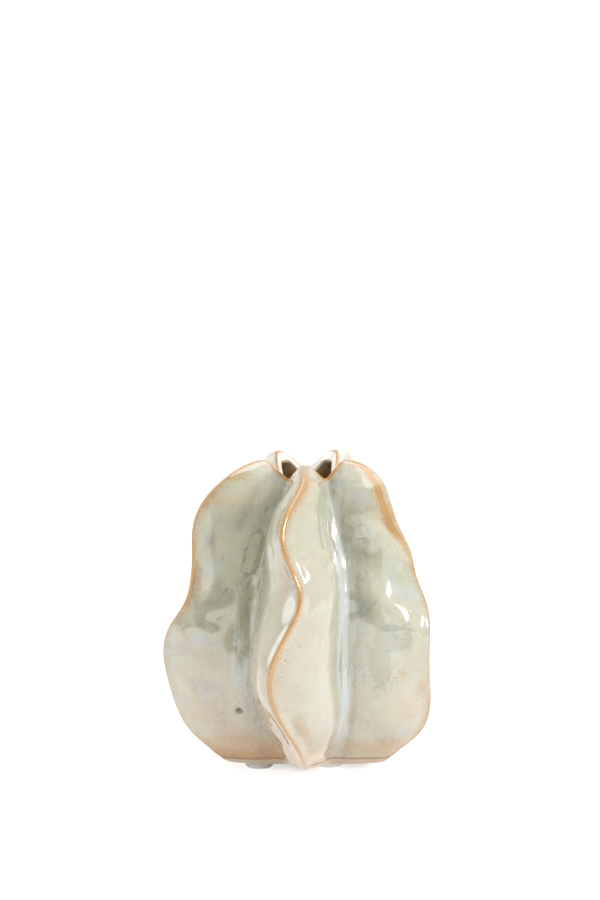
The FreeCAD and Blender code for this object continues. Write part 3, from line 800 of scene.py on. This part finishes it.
def blend(tree, share, first, second):
    """A mix of two colours."""
    return add(tree, "ShaderNodeMix", {"data_type": "RGBA"}, n0=share, n6=first, n7=second).outputs[2]


def own_place(tree):
    """The surface's own place, in metres."""
    return add(tree, "ShaderNodeTexCoord").outputs["Object"]


def noise(tree, scale, detail=2.0, rough=0.5, warp=0.0, shift=None, stretch=None):
    """Cloudy noise at the surface's own place, which can be moved or stretched first."""
    place = own_place(tree)
    for operation, amount in (("ADD", shift), ("MULTIPLY", stretch)):
        if amount is not None:
            place = add(tree, "ShaderNodeVectorMath", {"operation": operation}, n0=place, n1=amount).outputs[0]
    node = add(tree, "ShaderNodeTexNoise", Vector=place, Scale=scale, Detail=detail, Roughness=rough, Distortion=warp)
    return node.outputs[0]


def mottled(tree, scale, gain, base):
    """A value that wanders up from a base, for roughness."""
    return plus(tree, times(tree, noise(tree, scale), gain), base)


def value_of(tree, name):
    """A number kept at the points of the mesh."""
    return add(tree, "ShaderNodeAttribute", {"attribute_name": name}).outputs["Fac"]


def scaled(shade, factor):
    """A darker or lighter colour."""
    return tuple(min(1.0, factor * part) for part in shade)


# Shared effects


def new_group(name, colours, numbers, outputs):
    """A new shader group with named colours, numbers with their defaults, and named outputs."""
    tree = bpy.data.node_groups.new(name, "ShaderNodeTree")
    for label in colours:
        tree.interface.new_socket(label, in_out="INPUT", socket_type="NodeSocketColor")
    for label, default in numbers.items():
        socket = tree.interface.new_socket(label, in_out="INPUT", socket_type="NodeSocketFloat")
        socket.default_value = default
    for label in outputs:
        kind = "NodeSocketColor" if label == "Color" else "NodeSocketFloat"
        tree.interface.new_socket(label, in_out="OUTPUT", socket_type=kind)
    return tree, tree.nodes.new("NodeGroupInput").outputs, tree.nodes.new("NodeGroupOutput")


def covered(tree, given, grain):
    """How far the second colour covers the first, where the grain is high enough for the wanted cover."""
    middle = minus(tree, 1.0, given["Cover"])
    low, high = minus(tree, middle, given["Softness"]), plus(tree, middle, given["Softness"])
    return maths(tree, "MULTIPLY", ramp(tree, grain, low, high), given["Strength"], clamp=True)


def cloud_group():
    """Soft clouds of a second colour over a first."""
    numbers = {"Scale": 50.0, "Cover": 0.5, "Softness": 0.1, "Shift": 0.0, "Strength": 1.0}
    tree, given, out = new_group("Glaze clouds", ("Ground", "Cloud"), numbers, ("Color",))
    grain = noise(tree, given["Scale"], 5.0, 0.6, 0.5, shift=given["Shift"])
    plug(tree, out, Color=blend(tree, covered(tree, given, grain), given["Ground"], given["Cloud"]))
    return tree


def speck_group():
    """Fine specks of a second colour that crowd where a mask is high."""
    numbers = {"Scale": 1100.0, "Crowding": 0.5, "Shift": 0.0, "Strength": 1.0}
    tree, given, out = new_group("Glaze specks", ("Ground", "Speck"), numbers, ("Color",))
    grain = noise(tree, given["Scale"], 2.0, 0.6, shift=given["Shift"])
    cut = minus(tree, 0.70, times(tree, given["Crowding"], 0.40))
    strength = times(tree, given["Strength"], ramp(tree, given["Crowding"], 0.0, 0.15))
    mask = times(tree, ramp(tree, grain, cut, plus(tree, cut, 0.16)), strength)
    plug(tree, out, Color=blend(tree, mask, given["Ground"], given["Speck"]))
    return tree


def runs_group():
    """Long downward runs of a second colour over a first, where the melted glaze has flowed."""
    numbers = {"Scale": 300.0, "Cover": 0.5, "Softness": 0.1, "Strength": 1.0}
    tree, given, out = new_group("Glaze runs", ("Ground", "Run"), numbers, ("Color",))
    grain = noise(tree, given["Scale"], 3.0, 0.55, 0.3, stretch=(1.0, 1.0, 0.1))
    plug(tree, out, Color=blend(tree, covered(tree, given, grain), given["Ground"], given["Run"]))
    return tree


def ragged_group():
    """Frayed line where a distance is under a width: its core and the loose fringe round it."""
    numbers = {"Distance": 1.0, "Width": 1.0, "Fringe": 2.0, "Fray": 0.3, "Scale": 400.0}
    tree, given, out = new_group("Ragged line", (), numbers, ("Line", "Fringe"))
    width = given["Width"]
    grain = noise(tree, given["Scale"], 3.0, 0.6)
    wander = times(tree, minus(tree, grain, 0.5), times(tree, given["Fray"], 4.0))
    distance = plus(tree, maths(tree, "ABSOLUTE", given["Distance"]), times(tree, wander, width))
    line = ramp(tree, distance, times(tree, width, 1.12), times(tree, width, 0.82))
    plug(tree, out, Line=line, Fringe=ramp(tree, distance, given["Fringe"], width))
    return tree


def surface_group():
    """Fine height of a fired glaze: orange peel, slow ripple, runs and pinholes, in metres."""
    numbers = {"Peel": 0.00002, "Ripple": 0.00008, "Pinholes": 0.0001, "Runs": 0.0}
    tree, given, out = new_group("Glaze surface", (), numbers, ("Height",))
    peel = times(tree, noise(tree, 420.0), given["Peel"])
    ripple = times(tree, noise(tree, 95.0, 1.0), given["Ripple"])
    cells = add(tree, "ShaderNodeTexVoronoi", Vector=own_place(tree), Scale=130.0).outputs["Distance"]
    holes = times(tree, ramp(tree, cells, 0.085, 0.03), given["Pinholes"])
    flow = times(tree, noise(tree, 330.0, 1.0, stretch=(1.0, 1.0, 0.07)), given["Runs"])
    plug(tree, out, Height=minus(tree, plus(tree, plus(tree, peel, ripple), flow), holes))
    return tree


def use(tree, name, build, **inputs):
    """The outputs of a shared effect, placed in a material. Its group is built once."""
    group = bpy.data.node_groups.get(name) or build()
    return add(tree, "ShaderNodeGroup", {"node_tree": group}, **inputs).outputs


def clouds(tree, ground, cloud, **settings):
    """Clouds of a colour over a ground."""
    return use(tree, "Glaze clouds", cloud_group, Ground=ground, Cloud=cloud, **settings)["Color"]


def specks(tree, ground, speck, **settings):
    """Specks of a colour over a ground."""
    return use(tree, "Glaze specks", speck_group, Ground=ground, Speck=speck, **settings)["Color"]


def runs(tree, ground, run, **settings):
    """Downward runs of a colour over a ground."""
    return use(tree, "Glaze runs", runs_group, Ground=ground, Run=run, **settings)["Color"]


def ragged(tree, **settings):
    """The line and fringe of a frayed line."""
    return use(tree, "Ragged line", ragged_group, **settings)


# Materials


def new_material(name):
    """A new material with its shader."""
    material = bpy.data.materials.new(name)
    material.use_nodes = True
    return material, material.node_tree, material.node_tree.nodes["Principled BSDF"]


def relief(tree, shader, height):
    """Height in metres that tilts the shader's normal."""
    plug(tree, shader, Normal=add(tree, "ShaderNodeBump", Height=height, Distance=1.0).outputs[0])


def glaze_relief(tree, shader, **settings):
    """The fine relief of a fired surface."""
    relief(tree, shader, use(tree, "Glaze surface", surface_group, **settings)["Height"])


def glaze_material(glaze):
    """The lustre glaze of the outside and the lip."""
    material, tree, shader = new_material("lustre_glaze")
    body = wall_ground(tree, glaze)
    body = wall_patches(tree, glaze, body)
    body = painted_leaf_reflections(tree, glaze, body)
    body = wall_dust(tree, glaze, body)
    body = ridge_colour(tree, glaze, body)
    body = rim_colour(tree, glaze, body)
    body, bare = foot_colour(tree, glaze, body)
    dull = ramp(tree, value_of(tree, "dust"), 0.1, 0.6)
    dry = maths(tree, "MAXIMUM", times(tree, bare, 0.35), times(tree, dull, 0.45))
    coat = times(tree, ramp(tree, dull, 1.0, 0.0), glaze.coat)
    plug(tree, shader, Base_Color=body, Roughness=plus(tree, glaze.roughness, dry), IOR=1.6)
    plug(tree, shader, Coat_Weight=coat, Coat_Roughness=0.02, Coat_IOR=1.5)
    flowed = times(tree, ramp(tree, value_of(tree, "valley_gap"), 17.0, 6.0), 0.0005)
    glaze_relief(tree, shader, Runs=flowed)
    return material


def wall_ground(tree, glaze):
    """Mottled glaze of the walls: cool green above, pinkish below, olive in the valleys as pooled glaze and painted
    shade.
    """
    upper = clouds(tree, glaze.sage, glaze.cream, Scale=75.0, Cover=0.46, Softness=0.12)
    upper = clouds(tree, upper, glaze.olive, Scale=38.0, Cover=0.40, Softness=0.12, Shift=19.0, Strength=0.5)
    lower = clouds(tree, glaze.blush, glaze.cream, Scale=60.0, Cover=0.47, Softness=0.14, Shift=3.0)
    lower = clouds(tree, lower, glaze.peach, Scale=45.0, Cover=0.40, Softness=0.12, Shift=23.0, Strength=0.4)
    body = blend(tree, value_of(tree, "warm"), upper, lower)
    body = clouds(tree, body, glaze.lilac, Scale=85.0, Cover=0.40, Softness=0.08, Shift=7.0, Strength=0.5)
    body = clouds(tree, body, glaze.ash, Scale=170.0, Cover=0.38, Softness=0.08, Shift=29.0, Strength=0.25)
    # Olive runs near the valleys: pooled glaze, and painted shade that darkens the valleys.
    near_valley = ramp(tree, value_of(tree, "valley_gap"), 10.0, 2.0)
    dark, pale = times(tree, near_valley, 0.7), times(tree, near_valley, 0.5)
    body = runs(tree, body, glaze.olive, Scale=260.0, Cover=0.52, Softness=0.12, Strength=dark)
    return runs(tree, body, glaze.lilac, Scale=420.0, Cover=0.45, Softness=0.08, Strength=pale)


def wall_patches(tree, glaze, body):
    """Patches where the glaze is thick, rosy, milky, pooled, frosted or blue."""
    for kind, shade, scale, cover, shift, strength in (
        ("thick", glaze.cream, 90.0, 0.8, 37.0, 0.8),
        ("rosy", glaze.peach, 110.0, 0.7, 31.0, 0.4),
        ("milk", glaze.milk, 150.0, 0.8, 13.0, 1.0),
    ):
        body = clouds(
            tree, body, shade, Scale=scale, Cover=cover, Softness=0.3, Shift=shift,
            Strength=times(tree, value_of(tree, kind), strength),
        )
    uneven = times(tree, minus(tree, noise(tree, 260.0, shift=9.0), 0.5), 0.5)
    pool = ramp(tree, plus(tree, value_of(tree, "green"), uneven), 0.36, 0.44)
    body = blend(tree, times(tree, pool, 0.45), body, blend(tree, 0.5, glaze.sage, glaze.olive))
    frosted = times(tree, value_of(tree, "frost"), 0.9)
    body = specks(tree, body, glaze.milk, Scale=1100.0, Crowding=frosted, Strength=0.6)
    return blend(tree, times(tree, ramp(tree, value_of(tree, "blue"), 0.3, 0.7), 0.8), body, glaze.blue)


def painted_leaf_reflections(tree, glaze, body):
    """Painted reflections round the leaf-shaped dents: broken dark outlines, pale inside."""
    leaf = value_of(tree, "ring")
    wander = times(tree, minus(tree, noise(tree, 130.0, warp=1.0, shift=51.0), 0.5), 1.1)
    edge = plus(tree, leaf, wander)
    line = times(tree, ramp(tree, edge, 0.24, 0.34), ramp(tree, edge, 0.52, 0.40))
    line = times(tree, line, leaf, ramp(tree, noise(tree, 180.0, shift=61.0), 0.35, 0.6))
    # Painted reflection: pale middle of each ring, then its dark broken outline.
    body = blend(tree, times(tree, ramp(tree, edge, 0.40, 0.52), leaf, 0.5), body, glaze.cream)
    return blend(tree, maths(tree, "MINIMUM", times(tree, line, 2.2), 0.75), body, glaze.olive)


def wall_dust(tree, glaze, body):
    """Smoke, grey and orange dust over the walls, and the dark pit."""
    body = clouds(
        tree, body, glaze.ash, Scale=190.0, Cover=0.62, Softness=0.22, Shift=43.0,
        Strength=times(tree, value_of(tree, "smoke"), 0.5),
    )
    haze = ramp(tree, noise(tree, 55.0, 3.0, shift=5.0), 0.5, 0.72)
    broken = ramp(tree, noise(tree, 150.0, 3.0, warp=1.0, shift=41.0), 0.40, 0.62)
    ash = maths(tree, "MAXIMUM", times(tree, value_of(tree, "ash"), broken), times(tree, haze, 0.5))
    body = specks(tree, body, glaze.ash, Scale=1700.0, Crowding=times(tree, ash, 0.95), Strength=0.65)
    body = specks(
        tree, body, blend(tree, 0.3, glaze.amber, glaze.rust), Scale=1500.0, Shift=2.0,
        Crowding=value_of(tree, "ember"), Strength=0.45,
    )
    pit = ramp(tree, value_of(tree, "pit"), 0.35, 0.5)
    return blend(tree, times(tree, pit, 0.9), body, scaled(glaze.olive, 0.55))


def ridge_colour(tree, glaze, body):
    """Amber line broken through along the ridges, with its soft, dusty fringe."""
    reach, strength = value_of(tree, "ridge_reach"), value_of(tree, "amber_strength")
    ridge = ragged(tree, Distance=reach, Width=1.0, Fringe=4.5, Fray=0.2, Scale=330.0)
    body = blend(tree, times(tree, ridge["Fringe"], strength, 0.35), body, glaze.peach)
    body = specks(
        tree, body, blend(tree, 0.4, glaze.amber, glaze.rust), Scale=1500.0,
        Crowding=times(tree, ridge["Fringe"], 0.75), Shift=4.0, Strength=times(tree, strength, 0.7),
    )
    amber = clouds(tree, glaze.amber, glaze.peach, Scale=120.0, Cover=0.35, Softness=0.15, Shift=17.0)
    amber = blend(tree, times(tree, ramp(tree, reach, 0.35, 1.0), 0.45), amber, glaze.rust)
    return blend(tree, times(tree, ridge["Line"], strength), body, amber)


def rim_colour(tree, glaze, body):
    """Pale bevelled lip between its amber edges."""
    rim = value_of(tree, "rim_gap")
    pale = clouds(tree, glaze.lip_white, glaze.cream, Scale=160.0, Cover=0.4, Softness=0.15)
    # White patches: pale glaze near the back rims, painted reflections on the front lobe's left wall.
    body = blend(tree, times(tree, ramp(tree, value_of(tree, "white"), 0.2, 0.6), 0.85), body, pale)
    body = blend(tree, ramp(tree, rim, 0.35, 0.9), body, pale)
    edge = ragged(tree, Distance=plus(tree, rim, 0.45), Width=1.1, Fringe=2.4, Fray=0.12, Scale=260.0)
    body = blend(tree, times(tree, edge["Fringe"], 0.5), body, glaze.peach)
    body = blend(tree, edge["Line"], body, blend(tree, 0.15, glaze.amber, glaze.rust))
    mouth = ragged(tree, Distance=value_of(tree, "mouth_gap"), Width=0.35, Fringe=0.8, Fray=0.15, Scale=260.0)
    return blend(tree, times(tree, mouth["Line"], 0.7), body, glaze.amber)


def foot_colour(tree, glaze, body):
    """Brown line and dusty orange over the foot, and how bare the clay is under the line."""
    place = add(tree, "ShaderNodeSeparateXYZ", Vector=own_place(tree)).outputs
    over = times(tree, minus(tree, place["Z"], glaze.foot_line), float(TO_MM))
    dusty = plus(tree, times(tree, ramp(tree, place["X"], 0.025, -0.015), 0.7), 0.3)
    foot = ragged(tree, Distance=over, Width=0.5, Fringe=3.0, Fray=0.3, Scale=350.0)
    bare = ramp(tree, over, -0.2, -0.7)
    warm = blend(tree, 0.5, glaze.peach, glaze.amber)
    body = blend(tree, times(tree, ramp(tree, over, 13.0, 4.0), dusty, 0.8), body, warm)
    body = specks(
        tree, body, blend(tree, 0.3, glaze.amber, glaze.rust), Scale=1500.0, Shift=6.0,
        Crowding=times(tree, ramp(tree, over, 9.0, 0.0), dusty, 0.9), Strength=0.9,
    )
    body = blend(tree, bare, body, blend(tree, 0.35, glaze.peach, glaze.cream))
    return blend(tree, times(tree, foot["Line"], 0.75), body, glaze.rust), bare


def inside_material(glaze):
    """The thin brown glaze inside, pale where it meets the lip."""
    material, tree, shader = new_material("brown_inside_glaze")
    body = clouds(tree, glaze.inside, scaled(glaze.inside, 2.1), Scale=90.0, Cover=0.45, Softness=0.2)
    body = blend(tree, ramp(tree, value_of(tree, "mouth_gap"), 1.6, 0.2), body, glaze.peach)
    plug(tree, shader, Base_Color=body, Roughness=mottled(tree, 120.0, 0.25, 0.2), Coat_Weight=0.4)
    glaze_relief(tree, shader, Peel=0.00004, Ripple=0.0002)
    return material


def clay_material(glaze):
    """The bare stoneware of the underside."""
    material, tree, shader = new_material("bare_stoneware")
    body = clouds(tree, glaze.clay, scaled(glaze.clay, 0.62), Scale=110.0, Cover=0.4, Softness=0.2)
    body = specks(tree, body, glaze.rust, Scale=900.0, Crowding=0.45, Strength=0.7)
    plug(tree, shader, Base_Color=body, Roughness=mottled(tree, 300.0, 0.2, 0.65))
    glaze_relief(tree, shader, Peel=0.00012, Ripple=0.0001, Pinholes=0.0003)
    return material


def pad_material(pads, glow):
    """A soft, slightly clear pad, which glows with painted light where glow is above nought."""
    material, tree, shader = new_material("soft_pad")
    body = clouds(tree, pads.pale, scaled(pads.pale, 0.8), Scale=400.0, Cover=0.4, Softness=0.2)
    plug(tree, shader, Base_Color=body, Roughness=mottled(tree, 900.0, 0.15, 0.35))
    plug(tree, shader, Subsurface_Weight=0.3, Subsurface_Radius=(0.002, 0.002, 0.002), Subsurface_Scale=1.0)
    # Painted light: the pad's colour glows, standing in for light passed through it.
    plug(tree, shader, Emission_Color=body, Emission_Strength=glow)
    relief(tree, shader, times(tree, noise(tree, 1800.0), 0.00002))
    return material


def film_material(pads):
    """The cloudy adhesive film."""
    material, tree, shader = new_material("adhesive_film")
    body = clouds(tree, pads.film, scaled(pads.film, 0.85), Scale=600.0, Cover=0.5, Softness=0.2)
    plug(tree, shader, Base_Color=body, Roughness=mottled(tree, 1200.0, 0.2, 0.25))
    return material


# Pieces


def keep(name, data):
    """A new object in the scene."""
    piece = bpy.data.objects.new(name, data)
    bpy.context.scene.collection.objects.link(piece)
    return piece


class PILLOWVASE_OT_body(bpy.types.Operator):
    """Build the hollow glazed body"""

    bl_idname = "pillowvase.body"
    bl_label = "Glazed body"

    def execute(self, context):
        shape, glaze = context.scene.pillowvase_shape, context.scene.pillowvase_glaze
        rows, names = body_rows(shape)
        rows = np.clip(rows, *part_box("vase_body"))
        mesh = closed_mesh("glazed_body", rows)
        for name, values in glaze_values(rows, names, shape).items():
            flat = values.reshape(-1)
            point_value(mesh, name, np.append(flat, (flat[0], flat[-1])))
        for material in (glaze_material(glaze), inside_material(glaze), clay_material(glaze)):
            mesh.materials.append(material)
        slots = {"outside": 0, "lip": 0, "inside": 1, "underside": 2}
        by_row = [slots[name] for name in names[:-1]]
        by_row[names.index("outside") - 1] = slots["outside"]
        by_fan = [slots["underside"], slots["inside"]]
        index = np.repeat(by_row + by_fan, rows.shape[1])
        mesh.polygons.foreach_set("material_index", index.astype(np.int32))
        piece = keep("glazed_body", mesh)
        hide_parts("vase_body")
        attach(piece, "root")
        return {"FINISHED"}


def pad_profile(radius, bottom, top, pads):
    """Radius and height up a pad, from the middle of its underside to the middle of its top."""
    ring = radius - pads.edge_round
    points = [(radius * 0.05, bottom + pads.dish), (ring * 0.55, bottom + pads.dish), (ring * 0.72, bottom)]
    for a in np.radians(np.linspace(0, 90, 9)):
        points.append((ring + pads.edge_round * math.sin(a), bottom + pads.edge_round * (1 - math.cos(a))))
    for a in np.radians(np.linspace(0, 90, 5)):
        points.append((radius - PAD_CROWN * (1 - math.cos(a)), top - PAD_CROWN + PAD_CROWN * math.sin(a)))
    return points + [(radius * 0.5, top), (radius * 0.05, top)]


class PILLOWVASE_OT_pads(bpy.types.Operator):
    """Build the stick-on pads with their rounded edges"""

    bl_idname = "pillowvase.pads"
    bl_label = "Pads"

    def execute(self, context):
        pads = context.scene.pillowvase_pads
        # Only the right pad gets the painted glow.
        plain, painted_glow_pad = pad_material(pads, 0.0), pad_material(pads, pads.glow)
        turns = np.linspace(0, 2 * math.pi, PAD_TURNS, endpoint=False)
        for name in PAD_NAMES:
            low, high = (Vector(c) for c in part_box("pad_" + name))
            middle = (low + high) / 2
            rows = np.array([
                np.column_stack((middle.x + r * np.cos(turns), middle.y + r * np.sin(turns), np.full(PAD_TURNS, z)))
                for r, z in pad_profile((high.x - low.x) / 2, low.z, high.z, pads)
            ])
            mesh = closed_mesh("soft_pad_" + name, rows)
            mesh.materials.append(painted_glow_pad if name == "right" else plain)
            piece = keep("soft_pad_" + name, mesh)
            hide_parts("pad_" + name)
            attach(piece, "root")
        return {"FINISHED"}


class PILLOWVASE_OT_films(bpy.types.Operator):
    """Finish the adhesive films between the pads and the clay"""

    bl_idname = "pillowvase.films"
    bl_label = "Adhesive films"

    def execute(self, context):
        material = film_material(context.scene.pillowvase_pads)
        for name in PAD_NAMES:
            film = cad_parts["adhesive_" + name]
            film.material_slots[0].link = "OBJECT"
            film.material_slots[0].material = material
        return {"FINISHED"}


# Studio


def emptied(owner):
    """The cleared shader tree of a material or a world."""
    owner.use_nodes = True
    owner.node_tree.nodes.clear()
    return owner.node_tree


def seeing_ray(tree):
    """1 for rays that look at things: from the camera, mirrored or passing through."""
    path = add(tree, "ShaderNodeLightPath").outputs
    seen = maths(tree, "MAXIMUM", path["Is Camera Ray"], path["Is Glossy Ray"])
    return maths(tree, "MAXIMUM", seen, path["Is Transmission Ray"])


def aim(piece, axis, place, target):
    """Puts a piece at a place, with one of its axes towards a target."""
    piece.location = place
    piece.rotation_euler = (Vector(target) - Vector(place)).to_track_quat(axis, "Y").to_euler()


def grid_faces(across, rows):
    """Faces between the points of a grid, row after row."""
    starts = [row * across + i for row in range(rows - 1) for i in range(across - 1)]
    return [(a, a + 1, a + across + 1, a + across) for a in starts]


def sweep_mesh():
    """Paper sweep: a wide floor that curves up far behind."""
    profile = [(y, 0.0) for y in (-4.0, -2.0, -1.0, -0.4, 0.0, 0.4, 1.0, 2.5)]
    profile += [(2.5 + 1.5 * math.sin(a), 1.5 - 1.5 * math.cos(a)) for a in np.linspace(0.1, math.pi / 2, 14)]
    profile.append((4.0, 4.0))
    across = np.linspace(-5, 5, 9)
    return smooth_mesh("paper_sweep", [(x, y, z) for y, z in profile for x in across], grid_faces(9, len(profile)))


def sweep_material(studio):
    """White paper that keeps the vase's shadow, and is clear from below, so the underside can be seen."""
    material = bpy.data.materials.new("white_paper")
    tree = emptied(material)
    paper = add(tree, "ShaderNodeBsdfDiffuse", Color=studio.floor)
    glow = add(tree, "ShaderNodeEmission", Color=WHITE, Strength=times(tree, seeing_ray(tree), PAPER_GLOW))
    both = add(tree, "ShaderNodeAddShader", n0=paper.outputs[0], n1=glow.outputs[0])
    clear = add(tree, "ShaderNodeBsdfTransparent")
    below = add(tree, "ShaderNodeNewGeometry").outputs["Backfacing"]
    mixed = add(tree, "ShaderNodeMixShader", n0=below, n1=both.outputs[0], n2=clear.outputs[0])
    add(tree, "ShaderNodeOutputMaterial", Surface=mixed.outputs[0])
    return material


def card(name, width, height, place, target, shade):
    """Plain dark card that shows only in the glaze."""
    xs, ys = np.linspace(-width / 2, width / 2, 5), np.linspace(-height / 2, height / 2, 5)
    mesh = smooth_mesh(name, [(x, y, 0.0) for y in ys for x in xs], grid_faces(5, 5))
    material = bpy.data.materials.new(name)
    tree = emptied(material)
    glow = add(tree, "ShaderNodeEmission", Color=(shade, shade, shade), Strength=1.0)
    add(tree, "ShaderNodeOutputMaterial", Surface=glow.outputs[0])
    mesh.materials.append(material)
    piece = keep(name, mesh)
    aim(piece, "Z", place, target)
    for ray in ("visible_camera", "visible_diffuse", "visible_shadow", "visible_transmission"):
        setattr(piece, ray, False)


def lamp(name, watts, width, height, place, mirrored):
    """Soft rectangular lamp that looks at the vase."""
    light = bpy.data.lights.new(name, "AREA")
    light.shape = "RECTANGLE"
    light.size, light.size_y = width, height
    light.energy = watts
    piece = keep(name, light)
    piece.visible_glossy = mirrored
    aim(piece, "-Z", place, LAMP_TARGET)


def white_room(studio):
    """Plain light from all around, and white where a ray looks at it."""
    world = bpy.data.worlds.new("white_room")
    tree = emptied(world)
    white = add(tree, "ShaderNodeBackground", Color=WHITE, Strength=1.0)
    plain = add(tree, "ShaderNodeBackground", Color=WHITE, Strength=studio.sky)
    mixed = add(tree, "ShaderNodeMixShader", n0=seeing_ray(tree), n1=plain.outputs[0], n2=white.outputs[0])
    add(tree, "ShaderNodeOutputWorld", Surface=mixed.outputs[0])
    return world


def stood_camera(studio):
    """The camera in front of the vase, looking a little down."""
    data = bpy.data.cameras.new("camera")
    data.sensor_fit = "VERTICAL"
    data.sensor_height = 24.0
    data.lens = data.sensor_height * studio.distance / studio.picture_height
    data.clip_start, data.clip_end = 0.05, 50.0
    camera = keep("camera", data)
    back = Vector((0.0, -math.cos(studio.elevation), math.sin(studio.elevation)))
    camera.location = Vector(studio.target) + back * studio.distance
    camera.rotation_euler = (math.pi / 2 - studio.elevation, 0.0, 0.0)
    return camera


class PILLOWVASE_OT_studio(bpy.types.Operator):
    """Build the paper sweep, the lamps and the camera"""

    bl_idname = "pillowvase.studio"
    bl_label = "Studio"

    def execute(self, context):
        studio = context.scene.pillowvase_studio
        mesh = sweep_mesh()
        mesh.materials.append(sweep_material(studio))
        sweep = keep("paper_sweep", mesh)
        sweep.location.z = -SWEEP_DROP
        card(*CURTAIN)
        for name, watts, *rest in LAMPS:
            lamp(name, getattr(studio, watts), *rest)
        context.scene.world = white_room(studio)
        context.scene.camera = stood_camera(studio)
        context.scene.view_settings.view_transform = "Standard"
        return {"FINISHED"}


class PILLOWVASE_PT_panel(bpy.types.Panel):
    """The vase's sizes, colours and pieces"""

    bl_label = "Pillow Vase"
    bl_space_type = "VIEW_3D"
    bl_region_type = "UI"
    bl_category = "Pillow Vase"

    def draw(self, context):
        for group, operators in PANEL_ROWS:
            box = self.layout.box()
            settings = getattr(context.scene, group)
            for name in settings.__annotations__:
                box.prop(settings, name)
            for operator in operators:
                box.operator(operator)


GROUPS = {
    "pillowvase_shape": PillowVaseShape,
    "pillowvase_glaze": PillowVaseGlaze,
    "pillowvase_pads": PillowVasePads,
    "pillowvase_studio": PillowVaseStudio,
}
PANEL_ROWS = (
    ("pillowvase_shape", ("pillowvase.body",)),
    ("pillowvase_glaze", ()),
    ("pillowvase_pads", ("pillowvase.pads", "pillowvase.films")),
    ("pillowvase_studio", ("pillowvase.studio",)),
)
OPERATORS = (PILLOWVASE_OT_body, PILLOWVASE_OT_pads, PILLOWVASE_OT_films, PILLOWVASE_OT_studio)


def register():
    for name, kind in GROUPS.items():
        bpy.utils.register_class(kind)
        setattr(bpy.types.Scene, name, bpy.props.PointerProperty(type=kind))
    for kind in OPERATORS + (PILLOWVASE_PT_panel,):
        bpy.utils.register_class(kind)


def unregister():
    for kind in (PILLOWVASE_PT_panel,) + OPERATORS[::-1]:
        bpy.utils.unregister_class(kind)
    for name, kind in reversed(GROUPS.items()):
        delattr(bpy.types.Scene, name)
        bpy.utils.unregister_class(kind)


def main():
    register()
    bpy.ops.pillowvase.studio()
    bpy.ops.pillowvase.body()
    bpy.ops.pillowvase.pads()
    bpy.ops.pillowvase.films()


if __name__ == "__main__":
    main()
